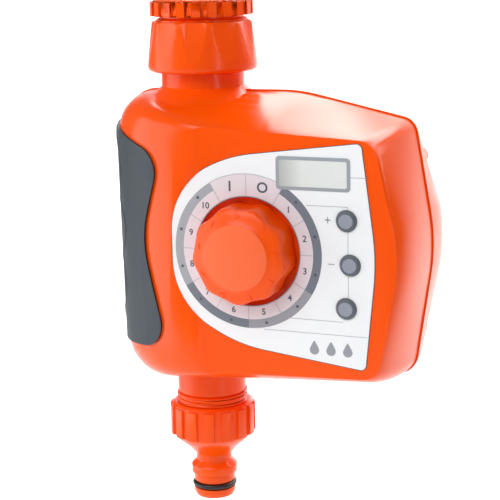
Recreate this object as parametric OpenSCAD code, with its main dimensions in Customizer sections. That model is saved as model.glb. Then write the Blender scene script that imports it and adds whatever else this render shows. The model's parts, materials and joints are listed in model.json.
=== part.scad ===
// Drip irrigation timer: a battery powered ball valve in a two-part case, with a swivel nut and
// tap adapter at the top and a hose connector at the bottom.
// Units are millimetres. +Z is up, the control panel faces -Y, and +X is to the right of it.
// The origin is the mouth of the tap thread, on the axis of the water pipe.

/* [Case] */
// Left edge of the case at the parting plane
case_left = -31; // [-34:0.5:-30]
// Right edge of the case at the parting plane
case_right = 86.6; // [84:0.2:90]
// Height of the case's top edge beside the neck
case_top = -32.8; // [-34:0.1:-32]
// Height of the case's lowest edge
case_bottom = -138.5; // [-140:0.5:-137]
// Depth of the front shell, from the parting plane to the panel
front_depth = 32; // [31:0.5:34]
// Depth of the rear shell, from the parting plane to its back
rear_depth = 26; // [25:0.5:30]
// Wall thickness of both shells
wall = 2.4; // [2:0.1:2.8]
// Outer radius of the neck under the swivel nut
neck_r = 15.05; // [14.9:0.05:16]
// Thickness of the soft grips
grip_t = 0.9; // [0.6:0.1:1.4]

/* [Control panel] */
// Centre of the dial, across
dial_x = 29; // [27:0.5:31]
// Centre of the dial, up
dial_z = -84.7; // [-87:0.1:-82]
// Radius of the well around the knob
well_r = 19.25; // [19:0.05:21]
// Radius over the knob's lobes
knob_r = 17.2; // [16:0.2:18.5]
// Radius of the knob's flat face
knob_face_r = 11.7; // [10:0.1:13]
// How far the knob stands out of the panel
knob_h = 11.5; // [9:0.5:14]
// Radius of a push button
button_r = 3.65; // [3:0.05:4]
// Travel of a push button
button_travel = 0.8; // [0.5:0.1:1]
// Width of the display window
lcd_w = 25.6; // [22:0.2:28]
// Height of the display window
lcd_h = 10.6; // [9:0.2:12]

/* [Water fittings] */
// Radius over the swivel nut at its lower edge
nut_r = 19.9; // [19.5:0.1:21]
// Height of the swivel nut
nut_h = 17.9; // [17:0.1:19]
// Radius of the tap adapter's flange
flange_r = 18.5; // [18:0.1:19]
// Radius over a G1 thread
g1_r = 16.6; // [16.6:0.05:16.7]
// Crest radius inside a G3/4 tap thread
tap_r = 12.1; // [12.05:0.05:12.2]
// Radius over a G3/4 thread
g34_r = 13.2; // [13.2:0.05:13.25]
// Radius over the ribs of the hose connector
connector_r = 16; // [15.5:0.1:17]
// Radius over the click ridge of the hose nipple
ridge_r = 8.6; // [8.5:0.05:8.7]
// Radius of the valve ball
ball_r = 9.5; // [9:0.1:9.6]
// Radius of the water way
water_r = 6.4; // [5:0.2:6.6]

/* [Gear train] */
// Gear module
gear_m = 0.7; // [0.65:0.05:0.7]
// Teeth on each pinion
pinion_teeth = 12; // [12:1:13]
// Teeth on each wheel
wheel_teeth = 36; // [34:1:36]

/* [Hidden] */
$fn = 64;

// Radial clearance of a part that turns in another
run_gap = 0.06;
// Thickness of a flat gasket
gasket_t = 1.5;
// A cut goes this far past the surface it opens
past = 1;

orange = [1, 0.35, 0.08];
steel = [0.75, 0.76, 0.78];
rubber = [0.06, 0.06, 0.06];
white = [0.95, 0.95, 0.95];

// Levels of the water fittings, from the top down
flange_t = 6;
nut_top = -8;
nut_bottom = nut_top - nut_h;
pipe_r = 13;
pipe_top = -19.4;
ball_z = -100;
pipe_bottom = -136;
collar_bottom = -146;
union_bottom = -160.9;
connector_top = -150.3;
nipple_top = -172.5;
ridge_z = -177.4;
oring_z = -183.5;
nipple_bottom = -188;
thread_pitch_g1 = 2.309;
thread_pitch_g34 = 1.814;

// A cylinder along Z between two heights
module rod_z(r, z0, z1) {
    translate([0, 0, min(z0, z1)])
        cylinder(r = r, h = abs(z1 - z0));
}

// A cylinder along Y, at x and z, between two depths
module rod_y(x, z, r, y0, y1) {
    translate([x, max(y0, y1), z])
        rotate([90, 0, 0])
            cylinder(r = r, h = abs(y1 - y0));
}

// A cylinder along X, at y and z, between two places across
module rod_x(y, z, r, x0, x1) {
    translate([min(x0, x1), y, z])
        rotate([0, 90, 0])
            cylinder(r = r, h = abs(x1 - x0));
}

// A box between two corners
module box(low, high) {
    translate(low)
        cube(high - low);
}

// A body of revolution about the pipe's axis; points are [radius, height]
module turned(points) {
    rotate_extrude($fn = 96)
        polygon(points);
}

// Thread ridges as rings, from z0 down to z1
module thread_rings(major_r, depth, pitch, z0, z1) {
    count = floor((z0 - z1) / pitch);
    for (k = [0 : count - 1]) {
        z = z0 - (k + 0.5) * pitch;
        turned([
            [major_r - depth - 0.4, z - pitch * 0.45],
            [major_r - depth, z - pitch * 0.45],
            [major_r, z - pitch * 0.12],
            [major_r, z + pitch * 0.12],
            [major_r - depth, z + pitch * 0.45],
            [major_r - depth - 0.4, z + pitch * 0.45]
        ]);
    }
}

// ---------------------------------------------------------------- water fittings

// Adapter from the 1 inch swivel nut to a 3/4 inch tap
module tap_reducer() {
    ribs = 20;
    core_r = g1_r - 1.45;
    seat_z = -14;
    lower_z = pipe_top + gasket_t;
    color(orange)
        difference() {
            union() {
                turned([
                    [0, 0], [flange_r - 1.9, 0], [flange_r - 0.9, -0.9], [flange_r - 0.9, -flange_t + 0.6],
                    [flange_r - 1.5, -flange_t], [0, -flange_t]
                ]);
                for (k = [0 : ribs - 1])
                    rotate(k * 360 / ribs)
                        box([flange_r - 2.5, -1.5, -flange_t], [flange_r, 1.5, -1.1]);
                rod_z(core_r, -flange_t + 0.5, lower_z);
                thread_rings(g1_r, 1.45, thread_pitch_g1, -flange_t - 0.6, lower_z);
            }
            rod_z(tap_r, past, -12);
            rod_z(tap_r + 0.5, -12, seat_z);
            rod_z(9.6, seat_z + past, lower_z - past);
        }
}

// Flat washer that seals the tap's mouth, held in the groove behind the thread
module reducer_gasket() {
    color(rubber)
        difference() {
            rod_z(tap_r + 0.4, -12.1, -13.9);
            rod_z(9.4, -11, -15);
        }
}

// Swivel nut with ten scooped grips
module inlet_nut() {
    scoops = 10;
    scoop_r = 20;
    // How near the axis a scoop comes at the top, and how far it leans outwards below
    scoop_in = 17.3;
    scoop_lean = 11.3;
    color(orange)
        difference() {
            turned([
                [0, nut_top], [nut_r - 2.3, nut_top], [nut_r - 1.7, nut_top - 0.6],
                [nut_r, nut_bottom + 1.8], [nut_r - 0.4, nut_bottom + 0.6],
                [nut_r - 1.6, nut_bottom], [0, nut_bottom]
            ]);
            rod_z(g1_r + 0.06, nut_top + past, pipe_top - 2.6);
            rod_z(pipe_r + run_gap, nut_top, nut_bottom - past);
            for (k = [0 : scoops - 1])
                rotate(k * 360 / scoops - 75.7)
                    translate([scoop_in + scoop_r, 0, nut_top])
                        rotate([0, -scoop_lean, 0])
                            cylinder(r = scoop_r, h = 3 * nut_h, center = true);
        }
}

// Sealing washer between the adapter and the valve body
module inlet_gasket() {
    color(rubber)
        difference() {
            rod_z(16, pipe_top + gasket_t - 0.05, pipe_top + 0.02);
            rod_z(10.9, pipe_top + 3, pipe_top - 1);
        }
}

// Basket strainer that hangs in the inlet
module inlet_filter() {
    basket_r = 8.5;
    basket_z = -37;
    slots = 12;
    color(white)
        difference() {
            union() {
                rod_z(10.8, pipe_top + gasket_t - 0.1, pipe_top + 0.02);
                rod_z(basket_r, pipe_top + 1, basket_z);
            }
            rod_z(basket_r - 0.8, pipe_top + 3, basket_z + 1);
            for (k = [0 : slots - 1])
                for (row = [0 : 3])
                    rotate(k * 360 / slots)
                        box([basket_r - 2, -0.5, basket_z + 2 + row * 3.8],
                            [basket_r + 1, 0.5, basket_z + 4.8 + row * 3.8]);
        }
}

// Pipe and ball chamber, with the flange that holds the swivel nut
module valve_body() {
    boss_r = 6.5;
    color(white)
        difference() {
            union() {
                rod_z(pipe_r, pipe_top - 0.5, pipe_bottom);
                rod_z(16.2, pipe_top, pipe_top - 2.5);
                rod_x(0, ball_z, boss_r, 0, pipe_r + 0.35);
            }
            rod_z(9, pipe_top + past, ball_z + ball_r);
            rod_z(ball_r + 0.3, ball_z + ball_r + 0.4, ball_z - ball_r - 2);
            rod_z(10.8, ball_z - ball_r - 0.3, pipe_bottom - past);
            rod_x(0, ball_z, 3 + run_gap, 5, pipe_r + past);
            rod_x(0, ball_z, 4.3, 5, pipe_r - 0.8);
        }
}

// Drilled ball; at rest its bore lies across the pipe, so the valve is shut
module valve_ball() {
    color(steel)
        translate([0, 0, ball_z])
            difference() {
                sphere(r = ball_r, $fn = 96);
                rotate([90, 0, 0])
                    cylinder(r = water_r, h = 30, center = true);
                box([ball_r - 2, -6, -1.55], [ball_r + 1, 6, 1.55]);
            }
}

// Two rings that the ball turns against
module ball_seats() {
    color(white)
        for (side = [-1, 1])
            difference() {
                translate([0, 0, ball_z])
                    rod_z(ball_r + 0.2, side * 3.4, side * (ball_r + 0.2));
                translate([0, 0, ball_z])
                    sphere(r = ball_r + 0.05, $fn = 96);
                rod_z(water_r + 0.3, ball_z - 20, ball_z + 20);
            }
}

// Spindle that turns the ball, with a tongue in the ball's slot
module valve_stem() {
    color(steel)
        union() {
            difference() {
                rod_x(0, ball_z, 3, ball_r + 0.15, 19.5);
                box([17.5, 2.2, ball_z - 4], [20, 4, ball_z + 4]);
            }
            box([ball_r - 1.9, -2.4, ball_z - 1.45], [ball_r + 0.3, 2.4, ball_z + 1.45]);
        }
}

// Two rings that seal the spindle
module stem_orings() {
    color(rubber)
        translate([0, 0, ball_z])
            rotate([0, 90, 0])
                for (x = [10.3, 11.5])
                    translate([0, 0, x])
                        rotate_extrude()
                            translate([3.62, 0])
                                circle(r = 0.55, $fn = 24);
}

// Outlet pipe that holds the lower seat, with the collar and hose thread
module outlet_union() {
    color(orange)
        difference() {
            union() {
                rod_z(10.72, ball_z - ball_r - 0.35, pipe_bottom - 0.1);
                rod_z(12.8, pipe_bottom - 0.1, collar_bottom);
                rod_z(g34_r - 1.15, collar_bottom + 0.5, union_bottom);
                thread_rings(g34_r, 1.15, thread_pitch_g34, collar_bottom - 0.1, union_bottom);
            }
            rod_z(water_r + 0.2, ball_z, union_bottom - past);
            rotate_extrude()
                translate([10.72, -122])
                    circle(r = 1.1, $fn = 24);
        }
}

// Ring that seals the outlet pipe in the valve body
module union_oring() {
    color(rubber)
        rotate_extrude()
            translate([10.15, -122])
                circle(r = 0.5, $fn = 24);
}

// Flat washer inside the hose connector
module connector_gasket() {
    color(rubber)
        difference() {
            rod_z(13.1, union_bottom - 0.05, union_bottom - 2);
            rod_z(7.4, union_bottom + past, union_bottom - 4);
        }
}

// Threaded hose connector with a click-fit nipple
module hose_connector() {
    ribs = 15;
    rib_bottom = -162.9;
    color(orange)
        difference() {
            union() {
                turned([
                    [0, connector_top], [14.3, connector_top], [15.1, connector_top - 0.8],
                    [15.1, rib_bottom], [13.2, rib_bottom - 2.2], [9.4, rib_bottom - 5.4],
                    [6.9, nipple_top + 1.2], [6.7, nipple_top], [6.7, ridge_z + 3.4],
                    [ridge_r, ridge_z + 1.5], [ridge_r, ridge_z - 1.5],
                    [7.7, ridge_z - 2.4], [7.7, oring_z + 1.4], [6.6, oring_z + 1.4],
                    [6.6, oring_z - 1.4], [7.9, oring_z - 1.4], [7.9, nipple_bottom + 1.6],
                    [7.2, nipple_bottom], [0, nipple_bottom]
                ]);
                for (k = [0 : ribs - 1])
                    rotate(k * 360 / ribs)
                        box([connector_r - 2.3, -1.8, rib_bottom + 0.2], [connector_r, 1.8, connector_top - 1.3]);
            }
            rod_z(g34_r + 0.06, connector_top + past, union_bottom - 2.05);
            rod_z(4.9, union_bottom, nipple_bottom - past);
        }
}

// Ring on the nipple
module connector_oring() {
    color(rubber)
        rotate_extrude()
            translate([7.5, oring_z])
                circle(r = 0.88, $fn = 32);
}

// ---------------------------------------------------------------- case

// Corners of the case seen from the front: [across, up, corner radius, roundness of the side]
parting = [
    [case_left - 1.2, case_top - 0.4, 14, 1.9], [37, case_top, 60, 1.12], [79.2, -42.2, 6, 1.3],
    [case_right, -85, 70, 3], [79.2, -132.6, 8, 1.6], [20, case_bottom, 60, 1.4],
    [case_left, case_bottom, 14, 1.9]
];
front_face = [
    [7, -44.2, 8, 1.7], [37, -43.6, 60, 1.12], [74.6, -45.5, 7, 1.3],
    [80, -85, 70, 3], [75.5, -125.8, 7, 1.6], [20, -128.3, 60, 1.4],
    [7, -128.5, 10, 1.8]
];
rear_face = [
    [-17, -47, 10, 2.2], [37, -45, 60, 2], [70, -51, 8, 2.4],
    [75.5, -85, 70, 2.6], [71.5, -129.5, 6, 2.4], [20, -133, 60, 2.2],
    [-17, -131, 10, 2.2]
];
case_centre = [27, -87];
// The barrel around the pipe stands this far in front of the panel's plane
barrel_step = 0.7;

function unit(v) = v / norm(v);
function flat2(c) = [c[0], c[1]];

// Points of one rounded corner between its neighbours
function corner_arc(before, at, after, r, steps) =
    let (
        d1 = unit(before - at),
        d2 = unit(after - at),
        half = acos(d1 * d2) / 2,
        centre = at + unit(d1 + d2) * r / sin(half),
        start = at + d1 * r / tan(half) - centre,
        end = at + d2 * r / tan(half) - centre,
        a0 = atan2(start[1], start[0]),
        turn = atan2(end[1], end[0]) - a0,
        sweep = turn > 180 ? turn - 360 : turn < -180 ? turn + 360 : turn
    )
    [for (k = [0 : steps]) centre + r * [cos(a0 + sweep * k / steps), sin(a0 + sweep * k / steps)]];

// Outline of a closed list of corners
function outline(corners, steps = 6) =
    let (n = len(corners))
    [for (i = [0 : n - 1])
        each corner_arc(flat2(corners[(i + n - 1) % n]), flat2(corners[i]),
                        flat2(corners[(i + 1) % n]), corners[i][2], steps)];

// The same corners moved inwards by d
function inset(corners, d) =
    [for (c = corners) [
        c[0] - d * sign(c[0] - case_centre[0]),
        c[1] - d * sign(c[1] - case_centre[1]),
        max(c[2] - d, 1), c[3]
    ]];

// One ring of the case's side, at the share u of its depth
function side_ring(from, to, u, steps) =
    let (a = outline(from, steps), b = outline(to, steps))
    [for (i = [0 : len(a) - 1])
        let (n = from[floor(i / (steps + 1))][3])
        a[i] + (b[i] - a[i]) * (1 - pow(1 - pow(u, n), 1 / n))];

// Solid between two outlines, from y = 0 to y = depth, with rounded sides
module case_solid(from, to, depth, levels = 11, steps = 7) {
    rings = [for (k = [0 : levels])
        let (u = k == levels ? 1 : sin(90 * k / levels))
        [for (p = side_ring(from, to, u, steps)) [p[0], depth * u, p[1]]]];
    m = len(rings[0]);
    front = depth < 0;
    sides = [for (k = [0 : levels - 1], j = [0 : m - 1])
        let (a = k * m + j, b = k * m + (j + 1) % m)
        each front ? [[a, b, b + m], [a, b + m, a + m]] : [[b, a, b + m], [b + m, a, a + m]]];
    near = [for (j = [0 : m - 1]) front ? m - 1 - j : j];
    far = [for (j = [0 : m - 1]) levels * m + (front ? j : m - 1 - j)];
    polyhedron(
        [for (r = rings) each r],
        concat(sides, [near, far])
    );
}

// A flat outline as a prism between two depths
module prism_y(corners, y0, y1, steps = 6) {
    translate([0, max(y0, y1), 0])
        rotate([90, 0, 0])
            linear_extrude(abs(y1 - y0))
                polygon(outline(corners, steps));
}

screw_r = 1.4;
boss_r = 3.2;
// Screws that join the shells: [across, up, depth of the boss's front end]
shell_screw_places = [
    [-21.5, -54, -24], [-21.5, -123, -24], [60, -50, -24],
    [76, -57, -30.8], [76, -120, -30.8], [26, -127, -28]
];

// Webs that tie bosses to the walls above and below: [across, bottom, top, depth]
boss_webs = [[60, -50, -33, -24], [26, -141, -127, -28]];
web_t = 2.4;

panel_y = -front_depth;
inner_front = -(front_depth + barrel_step - wall);
lcd_centre = [53.2, -56.7];
buttons = [[64.9, -72.1], [66.1, -87.2], [64.6, -102.3]];
well_floor = panel_y + 3;
panel_corners = [
    [24, -51.6, 50], [70.2, -45.9, 2], [75.2, -85, 80], [71.3, -123.7, 2],
    [25, -118.2, 50], [0.5, -105, 26], [0.5, -62, 26]
];
// Crest of the barrel, and the foot of the slope that runs from it down to the panel's plane
crest_x = 9;
crest_foot_x = 12.5;

// Keeps what is in front of the parting plane, or behind it
module half_space(front) {
    box([-60, front ? -60 : 0, -200], [120, front ? 0 : 60, 20]);
}

// Height at which the neck starts to spread into the case
flare_top = -31.2;

// Neck of the case with its flare, before it is split
module neck() {
    union() {
        rod_z(neck_r, nut_bottom - 0.4, -42);
        translate([0, 0, flare_top - 10])
            cylinder(r1 = neck_r + 11.5, r2 = neck_r, h = 10);
    }
}

// What is cut away in front of the panel's plane, with the slope beside the barrel
module panel_slope() {
    translate([0, 0, -160])
        linear_extrude(140)
            polygon([
                [crest_x, panel_y - barrel_step - 0.01], [crest_foot_x, panel_y], [110, panel_y],
                [110, panel_y - 10], [crest_x, panel_y - 10]
            ]);
}

// Front half of the case
module front_shell() {
    color(orange)
        difference() {
            union() {
                difference() {
                    union() {
                        case_solid(parting, front_face, panel_y - barrel_step);
                        intersection() {
                            neck();
                            half_space(true);
                        }
                    }
                    panel_slope();
                    translate([0, 0.01, 0])
                        case_solid(inset(parting, wall), inset(front_face, wall), inner_front, 6, 4);
                }
                rod_y(dial_x, dial_z, well_r + 1.8, well_floor + 2, inner_front - 0.5);
                intersection() {
                    case_solid(parting, front_face, panel_y - barrel_step);
                    union() {
                        for (s = shell_screw_places)
                            rod_y(s[0], s[1], boss_r, -0.3, s[2]);
                        for (w = boss_webs)
                            box([w[0] - web_t / 2, w[3], w[1]], [w[0] + web_t / 2, -0.3, w[2]]);
                    }
                }
                for (p = pcb_screw_places)
                    rod_y(p[0], p[1], 2.6, pcb_front - 0.02, inner_front - 0.2);
            }
            rod_z(pipe_r + 0.3, 0, -60);
            rod_z(13.2, -130, -160);
            rod_y(dial_x, dial_z, well_r, well_floor, panel_y - 3);
            rod_y(dial_x, dial_z, 4.1, well_floor + 3, well_floor - 1);
            prism_y(panel_corners, panel_y + 0.4, panel_y - 2);
            box([lcd_centre[0] - lcd_w / 2 - 0.3, panel_y - 2, lcd_centre[1] - lcd_h / 2 - 0.3],
                [lcd_centre[0] + lcd_w / 2 + 0.3, inner_front + 1, lcd_centre[1] + lcd_h / 2 + 0.3]);
            for (b = buttons)
                rod_y(b[0], b[1], button_r + 0.15, inner_front + 1, panel_y - 2);
            for (s = shell_screw_places)
                rod_y(s[0], s[1], screw_r, past, s[2] + 3);
            for (p = pcb_screw_places)
                rod_y(p[0], p[1], 1.06, pcb_front + past, pcb_front - 6);
        }
}

door_x = [35.5, 70.5];
door_z = [-122.5, -64];
door_hole_x = [38.2, 67.8];
door_hole_z = [-120, -66.5];
door_t = 2.2;
hinge_x = 33.6;
hinge_y = rear_depth - 0.2;
knuckle_r = 1.7;
// Heights at which the three knuckles of the door's hinge meet
knuckle_z = [-120, -112, -75, -67];

// Rear half of the case, with the battery opening and its hinge
module rear_shell() {
    color(orange)
        difference() {
            union() {
                difference() {
                    union() {
                        case_solid(inset(parting, -0.5), rear_face, rear_depth);
                        intersection() {
                            neck();
                            half_space(false);
                        }
                    }
                    translate([0, -0.01, 0])
                        case_solid(inset(parting, wall), inset(rear_face, wall), rear_depth - wall, 6, 4);
                }
                box([door_x[0] - 4.5, rear_depth - wall - 2, door_z[0] - 2],
                    [door_x[1] + 2, rear_depth - wall + 0.1, door_z[1] + 2]);
                for (s = shell_screw_places)
                    rod_y(s[0], s[1], boss_r, -0.2, rear_depth - 8);
                intersection() {
                    case_solid(inset(parting, -0.5), rear_face, rear_depth);
                    for (s = shell_screw_places)
                        rod_y(s[0], s[1], boss_r + 1.2, rear_depth - 14, rear_depth);
                }
                rod_z_at(hinge_x, hinge_y, knuckle_r, knuckle_z[0], knuckle_z[1]);
                rod_z_at(hinge_x, hinge_y, knuckle_r, knuckle_z[2], knuckle_z[3]);
            }
            rod_z(pipe_r + 0.3, 0, -60);
            rod_z(13.2, -130, -160);
            box([door_x[0] - 0.3, rear_depth - door_t - 0.1, door_z[0] - 0.3],
                [door_x[1] + 0.3, rear_depth + past, door_z[1] + 0.3]);
            box([door_hole_x[0], 0.5, door_hole_z[0]], [door_hole_x[1], rear_depth, door_hole_z[1]]);
            rod_z_at(hinge_x, hinge_y, knuckle_r + 0.4, knuckle_z[1] - 0.3, knuckle_z[2] + 0.3);
            box([hinge_x, hinge_y - knuckle_r - 0.4, knuckle_z[1] - 0.3],
                [door_x[0], rear_depth + past, knuckle_z[2] + 0.3]);
            rod_z_at(hinge_x, hinge_y, 0.8, knuckle_z[0] - past, knuckle_z[3] + past);
            seal_ring(0.05);
            door_seal_ring(0.05);
            for (s = shell_screw_places) {
                rod_y(s[0], s[1], screw_r + 0.25, -past, rear_depth);
                rod_y(s[0], s[1], 3.1, rear_depth - 11, rear_depth + past);
            }
        }
}

// A cylinder along Z at x and y, between two heights
module rod_z_at(x, y, r, z0, z1) {
    translate([x, y, 0])
        rod_z(r, z0, z1);
}

// Path of the seal in the parting plane; grow widens it for its groove
module seal_ring(grow) {
    difference() {
        prism_y(inset(parting, 0.75 - grow), 0, 0.7 + grow, 8);
        prism_y(inset(parting, 1.65 + grow), -past, 2, 8);
        rod_z(neck_r + 0.4, 0, -60);
        rod_z(13.6, -120, -160);
    }
}

// Seal between the two shells
module shell_seal() {
    color(rubber)
        seal_ring(0);
}

// Six screws that hold the rear shell
module shell_screws() {
    color(steel)
        for (s = shell_screw_places)
            difference() {
                union() {
                    rod_y(s[0], s[1], 2.7, rear_depth - 11, rear_depth - 9);
                    rod_y(s[0], s[1], screw_r - 0.02, rear_depth - 10, -14);
                }
                for (turn = [0, 90])
                    translate([s[0], rear_depth - 9, s[1]])
                        rotate([0, turn, 0])
                            cube([3, 2, 0.6], center = true);
            }
}

front_grip_corners = [
    [-48, -39, 1], [-3.6, -53, 9], [-13.4, -83.5, 32], [-2.8, -121.5, 9], [-48, -127.5, 1]
];
rear_grip_corners = [
    [-48, -39, 1], [-12, -53, 6], [-17, -84, 32], [-12, -122, 6], [-48, -127.5, 1]
];

// Soft grip on the front shell
module front_grip() {
    color([0.17, 0.23, 0.26])
        intersection() {
            difference() {
                case_solid(inset(parting, -grip_t), inset(front_face, -grip_t),
                           panel_y - barrel_step - grip_t);
                case_solid(parting, front_face, panel_y - barrel_step);
                half_space(false);
            }
            prism_y(front_grip_corners, 0, -40);
        }
}

// Soft grip on the rear shell
module rear_grip() {
    color([0.17, 0.23, 0.26])
        intersection() {
            difference() {
                case_solid(inset(parting, -grip_t - 0.5), inset(rear_face, -grip_t), rear_depth + grip_t);
                case_solid(inset(parting, -0.5), rear_face, rear_depth);
                rod_y(shell_screw_places[0][0], shell_screw_places[0][1], 3.1, 0, 40);
                rod_y(shell_screw_places[1][0], shell_screw_places[1][1], 3.1, 0, 40);
            }
            prism_y(rear_grip_corners, 0, 40);
        }
}

// ---------------------------------------------------------------- control panel

// Printed panel with holes for the dial, the window and the buttons
module panel_plate() {
    color(white)
        difference() {
            prism_y(inset(panel_corners, 0.1), panel_y + 0.4, panel_y - 0.3, 10);
            rod_y(dial_x, dial_z, well_r, 0, -60);
            box([lcd_centre[0] - lcd_w / 2, -60, lcd_centre[1] - lcd_h / 2],
                [lcd_centre[0] + lcd_w / 2, 0, lcd_centre[1] + lcd_h / 2]);
            for (b = buttons)
                rod_y(b[0], b[1], button_r + 0.1, 0, -60);
        }
}

// Clear window over the display
module lcd_lens() {
    color([0.75, 0.8, 0.78])
        box([lcd_centre[0] - lcd_w / 2 + 0.1, panel_y - 0.15, lcd_centre[1] - lcd_h / 2 + 0.1],
            [lcd_centre[0] + lcd_w / 2 - 0.1, panel_y + 1.2, lcd_centre[1] + lcd_h / 2 - 0.1]);
}

// Display behind the window
module lcd_module() {
    color([0.6, 0.65, 0.6])
        box([lcd_centre[0] - lcd_w / 2 - 1.5, inner_front + 0.3, lcd_centre[1] - lcd_h / 2 - 1.5],
            [lcd_centre[0] + lcd_w / 2 + 1.5, inner_front + 3.1, lcd_centre[1] + lcd_h / 2 + 1.5]);
}

// One push button: a cap with a hidden flange
module button_cap(place) {
    color([0.5, 0.52, 0.55])
        union() {
            rod_y(place[0], place[1], button_r, panel_y - 1.5, inner_front + 0.6);
            rod_y(place[0], place[1], button_r + 0.9, inner_front + 0.4, inner_front + 1.5);
        }
}

module button_plus() {
    button_cap(buttons[0]);
}

module button_minus() {
    button_cap(buttons[1]);
}

module button_run() {
    button_cap(buttons[2]);
}

pcb_front = -20;
pcb_t = 1.6;
switch_front = pcb_front - 3.4;

// Rod that carries a button's press to its switch
module plunger(place) {
    color([0.2, 0.2, 0.2])
        rod_y(place[0], place[1], 1.6, inner_front + 1.5, switch_front - button_travel - 0.1);
}

module plunger_plus() {
    plunger(buttons[0]);
}

module plunger_minus() {
    plunger(buttons[1]);
}

module plunger_run() {
    plunger(buttons[2]);
}

knob_lobes = 9;
lobe_depth = 1.2;
// Angle of one hollow between the lobes
lobe_phase = 8;

// Outline of the knob's grip: rounded lobes with shallow hollows between them
function knob_outline(points) =
    [for (k = [0 : points - 1])
        let (
            a = k * 360 / points,
            r = knob_r - lobe_depth * (1 - pow(abs(sin(a * knob_lobes / 2)), 0.8))
        )
        r * [cos(a + lobe_phase), sin(a + lobe_phase)]];

// Lobed knob with a raised flat face
module program_knob() {
    base_y = well_floor - 0.5;
    shoulder_y = panel_y - knob_h + 2;
    color(orange)
        translate([dial_x, 0, dial_z])
            difference() {
                union() {
                    translate([0, base_y, 0])
                        rotate([90, 0, 0])
                            linear_extrude(base_y - shoulder_y)
                                polygon(knob_outline(180));
                    rod_y(0, 0, knob_face_r, base_y - 1, panel_y - knob_h);
                }
                rod_y(0, 0, 3.0, base_y + 2, panel_y - knob_h + 3.5);
            }
}

// Shaft from the knob to the rotary switch
module knob_shaft() {
    color(steel)
        rod_y(dial_x, dial_z, 2.98, panel_y - knob_h + 3.5, pcb_front - 1);
}

// Ring that keeps water out around the shaft
module knob_seal() {
    color(rubber)
        difference() {
            rod_y(dial_x, dial_z, 4.0, well_floor + 0.1, well_floor + 1.9);
            rod_y(dial_x, dial_z, 3.05, 0, -60);
        }
}

// Rotary switch on the circuit board
module rotary_switch() {
    color([0.15, 0.3, 0.6])
        difference() {
            union() {
                box([dial_x - 8, pcb_front - 5.5, dial_z - 8], [dial_x + 8, pcb_front, dial_z + 8]);
                rod_y(dial_x, dial_z, 5, pcb_front - 5, pcb_front - 6.6);
            }
            rod_y(dial_x, dial_z, 2.98 + run_gap, -60, pcb_front - 0.6);
        }
}

// Circuit board
module pcb() {
    color([0.05, 0.35, 0.15])
        difference() {
            union() {
                box([16, pcb_front, -116], [73, pcb_front + pcb_t, -61]);
                box([16, pcb_front, -61.5], [52, pcb_front + pcb_t, -48]);
            }
            for (p = pcb_screw_places)
                rod_y(p[0], p[1], 1.1, -40, 0);
        }
}

pcb_screw_places = [[19, -51], [70, -66], [19, -112], [70, -112]];

// Four screws that hold the board to the front shell's pillars
module pcb_screws() {
    color(steel)
        for (p = pcb_screw_places)
            union() {
                rod_y(p[0], p[1], 1.8, pcb_front + pcb_t, pcb_front + pcb_t + 1.2);
                rod_y(p[0], p[1], 1.05, pcb_front + pcb_t + 0.5, pcb_front - 5);
            }
}

// Three push switches on the board
module tact_switches() {
    color([0.2, 0.2, 0.22])
        for (b = buttons)
            union() {
                box([b[0] - 3, pcb_front - 2.6, b[1] - 3], [b[0] + 3, pcb_front, b[1] + 3]);
                rod_y(b[0], b[1], 1.7, pcb_front - 2.5, switch_front);
            }
}

// Controller under a drop of resin, and its crystal
module controller_chip() {
    color([0.1, 0.1, 0.1])
        union() {
            box([41, pcb_front + pcb_t, -98], [51, pcb_front + pcb_t + 1.8, -88]);
            box([42, pcb_front + pcb_t, -82], [48, pcb_front + pcb_t + 2.4, -79]);
        }
}

// ---------------------------------------------------------------- gear train

axle_r = 1;
pressure_angle = 25;
// Thickness taken off each tooth at the pitch circle, so that the gears run freely
backlash = 0.08;
gear_t = 3;
gear_gap = 1;
plane_a = 16;
plane_b = plane_a + gear_t + gear_gap;
plane_c = plane_b + gear_t + gear_gap;
base_plate_x = [13.45, 15.3];
cover_plate_x = [27.7, 29.3];
centre_distance = gear_m * (pinion_teeth + wheel_teeth) / 2;
// Direction from each gear to the next, in the plane across the spindle
step_angles = [69, 111, 69];
output_centre = [0, ball_z];
gear_2_centre = output_centre + centre_distance * [cos(step_angles[0]), sin(step_angles[0])];
gear_1_centre = gear_2_centre + centre_distance * [cos(step_angles[1]), sin(step_angles[1])];
motor_centre = gear_1_centre + centre_distance * [cos(step_angles[2]), sin(step_angles[2])];

function involute_deg(a) = tan(a) * 180 / PI - a;

// Half the angle that a tooth fills at radius r
function half_tooth(teeth, r) =
    let (
        pitch_r = gear_m * teeth / 2,
        base_r = pitch_r * cos(pressure_angle),
        a = r > base_r ? acos(base_r / r) : 0
    )
    90 / teeth - backlash / 2 / pitch_r * 180 / PI + involute_deg(pressure_angle) - involute_deg(a);

// Outline of a spur gear whose first tooth points at angle phase
function gear_outline(teeth, phase, flank = 4) =
    let (
        pitch_r = gear_m * teeth / 2,
        root_r = pitch_r - 1.2 * gear_m,
        tip_r = pitch_r + 0.95 * gear_m,
        low_r = max(root_r, pitch_r * cos(pressure_angle)),
        radii = concat([root_r], [for (k = [0 : flank]) low_r + (tip_r - low_r) * k / flank])
    )
    [for (i = [0 : teeth - 1])
        let (c = phase + i * 360 / teeth)
        each concat(
            [for (r = radii) r * [cos(c - half_tooth(teeth, r)), sin(c - half_tooth(teeth, r))]],
            [for (k = [len(radii) - 1 : -1 : 0])
                let (r = radii[k])
                r * [cos(c + half_tooth(teeth, r)), sin(c + half_tooth(teeth, r))]]
        )];

// A spur gear across X, between two places
module spur(teeth, centre, phase, x0, x1) {
    translate([x0, centre[0], centre[1]])
        rotate([90, 0, 90])
            linear_extrude(x1 - x0)
                polygon(gear_outline(teeth, phase));
}

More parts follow.
